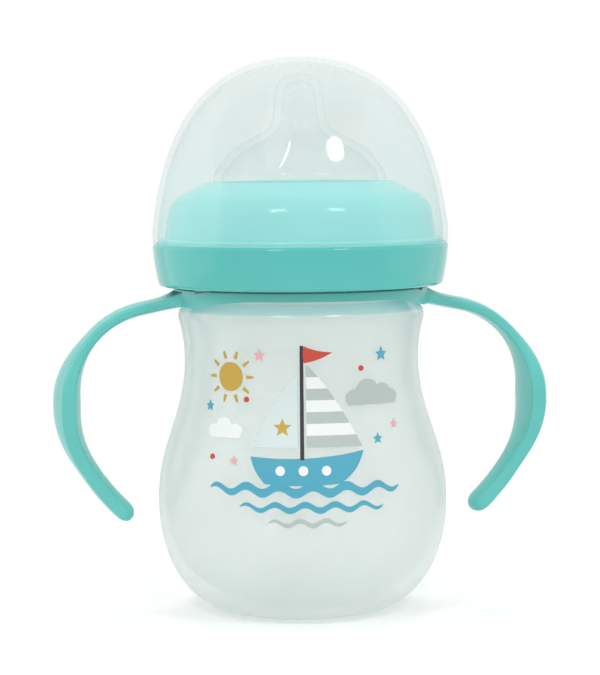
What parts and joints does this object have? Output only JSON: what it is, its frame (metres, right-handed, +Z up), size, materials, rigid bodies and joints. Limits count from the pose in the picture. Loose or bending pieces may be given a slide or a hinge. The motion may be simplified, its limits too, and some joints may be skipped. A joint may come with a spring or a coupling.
{
  "type": "baby bottle",
  "caption": "Waisted milky baby bottle with curved side handles, a screw collar, a soft teat and a lift-off dome-shaped hood.",
  "frame": {"origin": "centre of the ring that the bottle stands on, at floor level", "axes": "+Z up along the bottle's axis, +X towards one handle, -Y towards the printed front"},
  "size_m": [0.1176, 0.0698, 0.1308],
  "materials": {
    "milky_bottle": "translucent milky polypropylene, smooth and slightly satin, with a printed front",
    "teal_plastic": "glossy moulded polypropylene, teal, with softly rounded edges",
    "silicone": "clear soft silicone with a faint satin skin",
    "milky_hood": "thin translucent milky polypropylene, glossy outside"
  },
  "bodies": {
    "bottle": {"bottle_body": "milky_bottle"},
    "handles": {"handle_ring": "teal_plastic"},
    "teat": {"teat": "silicone"},
    "collar": {"collar": "teal_plastic"},
    "hood": {"hood": "milky_hood"}
  },
  "joints": [
    {"name": "handle_turn", "type": "hinge", "parent": "bottle", "child": "handles", "pos_m": [0, 0, 0.0745], "axis": [0, 0, 1], "continuous": true},
    {"name": "teat_rise", "type": "slide", "parent": "bottle", "child": "teat", "axis": [0, 0, 1], "range_m": [0, 0.0057]},
    {"name": "collar_unscrew", "type": "hinge", "parent": "teat", "child": "collar", "pos_m": [0, 0, 0.09], "axis": [0, 0, 1], "range_deg": [0, 405]},
    {"name": "hood_lift", "type": "slide", "parent": "collar", "child": "hood", "axis": [0, 0, 1], "range_m": [0, 0.045]}
  ],
  "couplings": [
    {"joint": "teat_rise", "follows": "collar_unscrew", "m_per_rad": 0.00079577}
  ]
}
